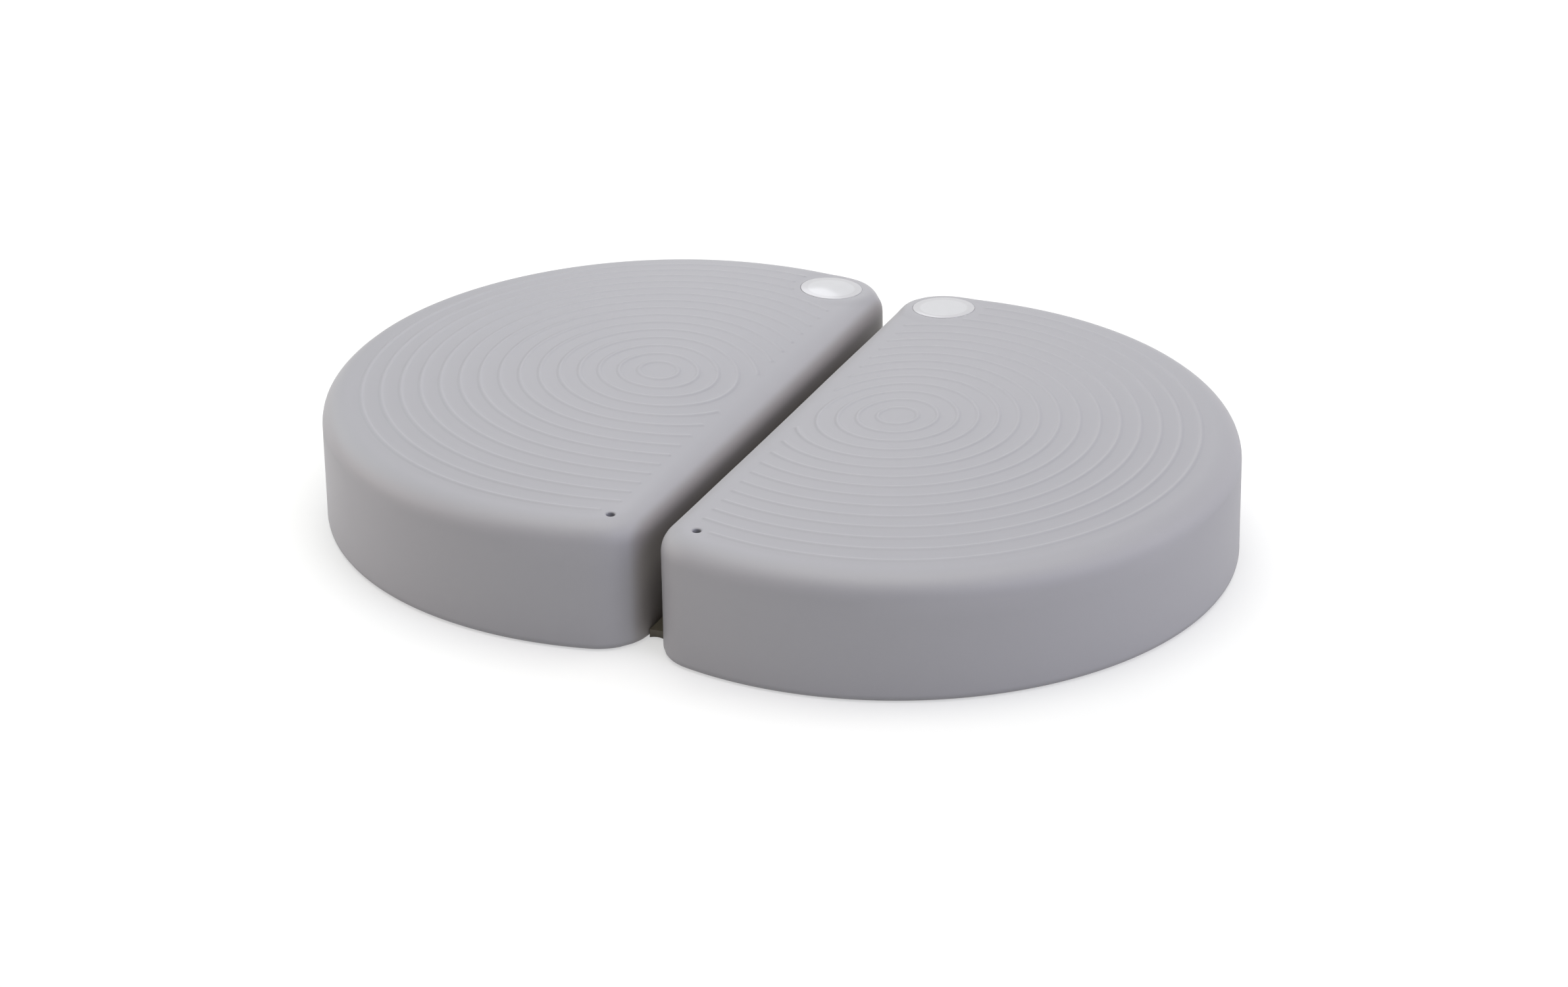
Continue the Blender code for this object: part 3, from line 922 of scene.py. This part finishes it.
def plug_profile(top):
    """Grooved rubber head under the lip, a stem below, and a blind way for the needle."""
    head_top = top - LIP_DEPTH - PLUG_GAP
    groove = PLUG_RADIUS - PLUG_GROOVE_DEPTH
    groove_bottom = PLUG_BOTTOM_Z + 4.0 * PLUG_BEVEL
    groove_top = groove_bottom + PLUG_GROOVE_LENGTH
    stem_bottom = PLUG_BOTTOM_Z - STEM_LENGTH
    return [
        (0.0, stem_bottom),
        (STEM_RADIUS - PLUG_BEVEL, stem_bottom),
        (STEM_RADIUS, stem_bottom + PLUG_BEVEL),
        (STEM_RADIUS, PLUG_BOTTOM_Z - PLUG_BEVEL),
        (PLUG_RADIUS, PLUG_BOTTOM_Z + PLUG_BEVEL),
        (PLUG_RADIUS, groove_bottom - PLUG_BEVEL),
        (groove, groove_bottom),
        (groove, groove_top),
        (PLUG_RADIUS, groove_top + PLUG_BEVEL),
        (PLUG_RADIUS, head_top - PLUG_HEAD_BEVEL),
        (PLUG_RADIUS - PLUG_HEAD_BEVEL, head_top),
        (MOUTH_RADIUS - PLUG_GAP, head_top),
        (1.2 * NEEDLE_RADIUS, head_top - 0.8 * PLUG_FUNNEL_DEPTH),
        (NEEDLE_RADIUS, head_top - PLUG_FUNNEL_DEPTH),
        (NEEDLE_RADIUS, PLUG_BOTTOM_Z),
        (0.0, PLUG_BOTTOM_Z - 0.5 * PLUG_BEVEL),
    ]


def web_mesh():
    """The strip between the pods, arched under and dished on top, with scooped ends."""
    half_width = HALF_GAP - WEB_CLEARANCE
    across = WEB_STEPS_ACROSS
    along = WEB_STEPS_ALONG
    bm = bmesh.new()
    rows = []
    for j in range(along + 1):
        under = []
        over = []
        for i in range(across + 1):
            s = 2.0 * i / across - 1.0
            middle = 1.0 - s**2
            x = half_width * s
            y = (WEB_HALF_LENGTH - WEB_END_SCOOP * middle) * (2.0 * j / along - 1.0)
            under.append(bm.verts.new((x, y, WEB_EDGE_BOTTOM_Z + WEB_ARCH * middle)))
            over.append(bm.verts.new((x, y, WEB_EDGE_TOP_Z - WEB_ARCH * middle)))
        rows.append(under + over[::-1])
    for near, far in zip(rows, rows[1:]):
        join_loops(bm, near, far)
    for end in (rows[0], rows[-1]):
        for i in range(across):
            bm.faces.new((end[i], end[i + 1], end[-2 - i], end[-1 - i]))
    return finished_mesh("web", bm)


# Finishes


def own_place(tree):
    """Place on the object, in metres."""
    return add_node(tree, "ShaderNodeTexCoord").outputs["Object"]


def stored_value(tree, name):
    """A value kept on the mesh's points."""
    return add_node(tree, "ShaderNodeAttribute", attribute_name=name).outputs["Fac"]


def smooth_range(tree, value, low, high, at_low=0.0, at_high=1.0):
    """Goes smoothly from at_low to at_high as a value goes from low to high."""
    return add_node(
        tree,
        "ShaderNodeMapRange",
        {0: value, 1: low, 2: high, 3: at_low, 4: at_high},
        interpolation_type="SMOOTHSTEP",
    ).outputs[0]


def mixed(tree, share, first, second):
    """The first colour where share is 0, the second where it is 1. Each is (r, g, b) or a socket."""
    first, second = [(*c, 1.0) if isinstance(c, tuple) else c for c in (first, second)]
    return add_node(
        tree, "ShaderNodeMix", {0: share, 6: first, 7: second}, data_type="RGBA"
    ).outputs[2]


def toned(tree, colour, tone):
    """A colour made darker or paler."""
    return add_node(
        tree, "ShaderNodeVectorMath", {0: colour, 1: tone}, operation="MULTIPLY"
    ).outputs[0]


def tone_for(tree, share, full):
    """A tone of 1 where share is 0, and the full one where share is 1."""
    return maths(tree, "MULTIPLY_ADD", share, full - 1.0, 1.0)


def roughen(tree, shader, strength, depth, height):
    """Gives a surface fine relief, of this depth in metres."""
    bump = add_node(
        tree, "ShaderNodeBump", {"Strength": strength, "Distance": depth, "Height": height}
    )
    tree.links.new(bump.outputs[0], shader.inputs["Normal"])


def noise_value(tree, place, scale, detail=2.0, roughness=0.5):
    return add_node(
        tree,
        "ShaderNodeTexNoise",
        {"Vector": place, "Scale": scale, "Detail": detail, "Roughness": roughness},
    ).outputs["Fac"]


def vinyl_grain_group():
    """Soft cloudiness, fine speckle and pebbled grain of moulded vinyl."""
    value = "NodeSocketFloat"
    tree, given, result = new_group(
        "vinyl grain",
        "ShaderNodeTree",
        {
            "Place": ("NodeSocketVector", None),
            "Cloud Amount": (value, 0.04),
            "Speckle Amount": (value, 0.02),
            "Pebbles Per Metre": (value, 2200.0),
        },
        {"Tone": value, "Gloss Change": value, "Grain Height": value},
    )
    place = given["Place"]
    wide = noise_value(tree, place, CLOUDS_PER_METRE, 3.0)
    wide = maths(tree, "SUBTRACT", wide, 0.5)
    middle = noise_value(tree, place, MOTTLE_PER_METRE, 3.0, 0.6)
    middle = maths(tree, "SUBTRACT", middle, 0.5)
    fine = noise_value(tree, place, SPECKLE_PER_METRE, 2.0, 0.7)
    fine = maths(tree, "SUBTRACT", fine, 0.5)
    cloud = maths(tree, "MULTIPLY_ADD", middle, 0.5, wide)
    tone = maths(tree, "MULTIPLY_ADD", cloud, given["Cloud Amount"], 1.0)
    tone = maths(tree, "MULTIPLY_ADD", fine, given["Speckle Amount"], tone)
    tree.links.new(tone, result["Tone"])
    gloss = maths(tree, "MULTIPLY", middle, MOTTLE_GLOSS)
    gloss = maths(tree, "MULTIPLY_ADD", wide, CLOUD_GLOSS, gloss)
    tree.links.new(gloss, result["Gloss Change"])
    pebbles = add_node(
        tree,
        "ShaderNodeTexVoronoi",
        {"Vector": place, "Scale": given["Pebbles Per Metre"], "Smoothness": 0.6},
        feature="SMOOTH_F1",
    ).outputs["Distance"]
    tree.links.new(maths(tree, "MULTIPLY_ADD", fine, 0.5, pebbles), result["Grain Height"])
    return tree


def principled(name):
    made = bpy.data.materials.new(name)
    made.use_nodes = True
    tree = made.node_tree
    return made, tree, tree.nodes["Principled BSDF"]


def vinyl(name, grain_group, tint, side_reflection_tint, gap_shade_tint, crest_tone):
    """Matte moulded vinyl: pale crests, painted reflection on the sides, painted shade in the gap and
    at the base, painted light on the top edge.
    """
    made, tree, shader = principled(name)
    place = own_place(tree)
    grain = add_node(tree, "ShaderNodeGroup", {"Place": place}, node_tree=grain_group).outputs
    # Painted reflection: over the rounded edge and the sides the vinyl turns warmer, as from the
    # floor's bounce.
    edge = stored_value(tree, "edge_turn")
    crest = stored_value(tree, "rib_rise")
    across, _, height = add_node(tree, "ShaderNodeSeparateXYZ", {0: place}).outputs
    # Painted shade: the vinyl turns darker towards the gap between the pods.
    gap_shade = smooth_range(tree, maths(tree, "ABSOLUTE", across), GAP_SHADE_FROM, GAP_SHADE_FULL)
    colour = mixed(tree, gap_shade, mixed(tree, edge, tint, side_reflection_tint), gap_shade_tint)

    # Painted shade: the vinyl darkens towards the floor along the base.
    base_shade = smooth_range(tree, height, 0.0, BASE_SHADE_HEIGHT, BASE_SHADE_TONE, 1.0)
    outside_gap_shade = maths(tree, "SUBTRACT", 1.0, gap_shade)
    # Painted light: the vinyl is paler partway round the top edge's rounding, but not in the gap.
    painted_light = maths(tree, "MULTIPLY", stored_value(tree, "edge_painted_light"), outside_gap_shade)
    tone = maths(tree, "MULTIPLY", grain["Tone"], tone_for(tree, crest, crest_tone))
    tone = maths(tree, "MULTIPLY", tone, base_shade)
    tone = maths(tree, "MULTIPLY", tone, tone_for(tree, painted_light, EDGE_PAINTED_LIGHT_TONE))
    tree.links.new(toned(tree, colour, tone), shader.inputs["Base Color"])

    rough = maths(tree, "MULTIPLY_ADD", crest, -CREST_SMOOTHER_BY, VINYL_ROUGHNESS)
    rough = maths(tree, "ADD", rough, grain["Gloss Change"])
    tree.links.new(rough, shader.inputs["Roughness"])
    roughen(tree, shader, *VINYL_GRAIN, grain["Grain Height"])
    shader.inputs["Specular IOR Level"].default_value = VINYL_SHEEN
    return made


def badge_plastic(name, centre):
    """Glossy milky disc, a little greyer in the band along its rim where it is clear."""
    made, tree, shader = principled(name)
    place = own_place(tree)
    centred = add_node(
        tree, "ShaderNodeMapping", {"Vector": place, "Location": (-centre[0], -centre[1], 0.0)}
    ).outputs[0]
    x, y, _ = add_node(tree, "ShaderNodeSeparateXYZ", {0: centred}).outputs
    rim = smooth_range(tree, distance(tree, x, y), RIM_TINT_FROM, RIM_TINT_FULL)
    cloud = noise_value(tree, place, BADGE_CLOUDS_PER_METRE, 3.0)
    cloud = maths(tree, "SUBTRACT", cloud, 0.5)
    tone = maths(tree, "MULTIPLY_ADD", cloud, BADGE_CLOUD_TONE, 1.0)
    tinted = toned(tree, mixed(tree, rim, BADGE_TINT, BADGE_RIM_TINT), tone)
    tree.links.new(tinted, shader.inputs["Base Color"])
    haze = noise_value(tree, place, HAZE_PER_METRE)
    rough = maths(tree, "MULTIPLY_ADD", haze, BADGE_HAZE, BADGE_ROUGHNESS)
    tree.links.new(rough, shader.inputs["Roughness"])
    return made


def valve_rubber():
    """Black rubber with a faint grey bloom."""
    made, tree, shader = principled("valve rubber")
    bloom = noise_value(tree, own_place(tree), HAZE_PER_METRE, 3.0, 0.6)
    colour = mixed(tree, bloom, VALVE_TINT, VALVE_BLOOM_TINT)
    tree.links.new(colour, shader.inputs["Base Color"])
    rough = maths(tree, "MULTIPLY_ADD", bloom, VALVE_BLOOM_ROUGHNESS, VALVE_ROUGHNESS)
    tree.links.new(rough, shader.inputs["Roughness"])
    roughen(tree, shader, *VALVE_GRAIN, bloom)
    return made


# Stage


def add_floor():
    """A wide floor just under the pods, grey where they stand and white far off."""
    bm = bmesh.new()
    bmesh.ops.create_grid(bm, x_segments=2, y_segments=2, size=FLOOR_HALF_WIDTH)
    bmesh.ops.translate(bm, verts=bm.verts[:], vec=(0.0, 0.0, -FLOOR_BELOW))
    mesh = bpy.data.meshes.new("floor")
    bm.to_mesh(mesh)
    bm.free()
    made, tree, shader = principled("pale floor")
    shader.inputs["Base Color"].default_value = (*FLOOR_GREY, 1.0)
    shader.inputs["Roughness"].default_value = FLOOR_ROUGHNESS
    away = add_node(
        tree, "ShaderNodeVectorMath", {0: own_place(tree)}, operation="LENGTH"
    ).outputs["Value"]
    far = smooth_range(tree, away, FLOOR_PALER_FROM, FLOOR_WHITE_BY)
    tree.links.new(mixed(tree, far, FLOOR_GREY, WHITE), shader.inputs["Emission Color"])
    shader.inputs["Emission Strength"].default_value = 1.0
    add_piece("floor", mesh, made)


def softbox(name, azimuth, elevation, distance, size, colour, power, roll=0.0):
    """A square area light that faces the origin. Azimuth 0 is +Y and 90 is +X, in degrees."""
    a = math.radians(azimuth)
    e = math.radians(elevation)
    light = bpy.data.lights.new(name, "AREA")
    light.shape = "SQUARE"
    light.size = size
    light.color = colour
    light.energy = power
    lamp = bpy.data.objects.new(name, light)
    bpy.context.scene.collection.objects.link(lamp)
    place = Vector((math.sin(a) * math.cos(e), math.cos(a) * math.cos(e), math.sin(e))) * distance
    lamp.location = place
    turn = place.to_track_quat("Z", "Y") @ Quaternion((0.0, 0.0, 1.0), math.radians(roll))
    lamp.rotation_euler = turn.to_euler()


def add_lights():
    softbox("overhead", 0.0, 85.5, 2.2, 2.2, (1.0, 1.0, 0.95), 52.0)
    softbox("backdrop", -12.0, 16.0, 3.0, 2.0, WHITE, 11.5)
    softbox("behind", -30.7, 33.6, 3.0, 1.3, (0.94, 0.94, 1.0), 7.9, 17.0)
    softbox("behind_left", -70.0, 30.0, 1.8, 1.0, (0.8, 0.95, 1.0), 5.4)
    softbox("left", -105.0, 20.0, 1.8, 1.0, (1.0, 0.88, 0.87), 7.6)
    softbox("right", 65.0, 20.0, 3.0, 1.6, (0.94, 0.93, 1.0), 15.6)
    softbox("front_right", 110.0, 30.0, 3.0, 1.6, (0.74, 0.76, 1.0), 20.5)
    world = bpy.data.worlds.new("studio")
    bpy.context.scene.world = world
    world.use_nodes = True
    background = world.node_tree.nodes["Background"]
    background.inputs["Color"].default_value = (*WHITE, 1.0)
    background.inputs["Strength"].default_value = WORLD_GLOW
    bpy.context.scene.view_settings.view_transform = "Standard"


def add_camera():
    a = VIEW_AZIMUTH
    e = VIEW_ELEVATION
    back = Vector((math.sin(a) * math.cos(e), -math.cos(a) * math.cos(e), math.sin(e)))
    level_right = Vector((math.cos(a), math.sin(a), 0.0))
    level_up = back.cross(level_right)
    right = math.cos(VIEW_ROLL) * level_right + math.sin(VIEW_ROLL) * level_up
    up = back.cross(right)
    data = bpy.data.cameras.new("camera")
    data.lens = LENS
    data.sensor_width = SENSOR_WIDTH
    camera = bpy.data.objects.new("camera", data)
    bpy.context.scene.collection.objects.link(camera)
    turn = Matrix((right, up, back)).transposed()
    camera.matrix_world = (
        Matrix.Translation(back * VIEW_DISTANCE + right * VIEW_RIGHT + up * VIEW_UP) @ turn.to_4x4()
    )
    bpy.context.scene.camera = camera


# Object


def build_pod(pod, tree, grain_group):
    body = f"{pod.name}_pod"
    finish = vinyl(
        f"{pod.name} vinyl", grain_group, VINYL_TINT, VINYL_SIDE_REFLECTION_TINT, VINYL_GAP_SHADE_TINT, CREST_TONE
    )
    rough_skin = add_piece("skin_in_work", pod_skin_mesh(pod))
    skin_mesh = for_side(raise_ribs(rough_skin, pod, tree, finish), pod.side)
    bpy.data.objects.remove(rough_skin)
    shade(skin_mesh)
    skin = add_piece(f"{pod.name}_pod_skin", skin_mesh)
    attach(skin, body)
    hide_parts(f"{pod.name}_chamber")

    badge_mesh = turned("badge", badge_profile(pod.badge_dome), BADGE_STEPS_ROUND)
    badge_mesh.transform(Matrix.Translation(badge_back(pod)) @ badge_turn().to_matrix().to_4x4())
    shade(for_side(badge_mesh, pod.side))
    badge_finish = badge_plastic(f"{pod.name} badge", (pod.side * pod.badge[0], pod.badge[1]))
    badge = add_piece(f"{pod.name}_badge_disc", badge_mesh, badge_finish)
    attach(badge, body)
    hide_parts(f"{pod.name}_badge")

    plug_sides = plug_profile(surface_height(pod, *pod.valve))
    plug_mesh = turned("plug", plug_sides, PLUG_STEPS_ROUND)
    plug_mesh.transform(Matrix.Translation((*pod.valve, 0.0)))
    shade(for_side(plug_mesh, pod.side))
    plug = add_piece(f"{pod.name}_valve_plug", plug_mesh, valve_rubber())
    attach(plug, body)
    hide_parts(f"{pod.name}_needle_valve")


def build_web(grain_group):
    mesh = web_mesh()
    shade(mesh)
    # The web is the pods' vinyl, with a dark brown tint that paints the shade of the gap on it.
    finish = vinyl("web vinyl", grain_group, WEB_SHADE_TINT, WEB_SHADE_TINT, WEB_SHADE_TINT, 1.0)
    web = add_piece("web_strip", mesh, finish)
    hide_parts("fold_web")
    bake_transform(web)


def main():
    grain_group = vinyl_grain_group()
    tree = rib_tree()
    for pod in PODS:
        build_pod(pod, tree, grain_group)
    build_web(grain_group)
    add_floor()
    add_lights()
    add_camera()


main()
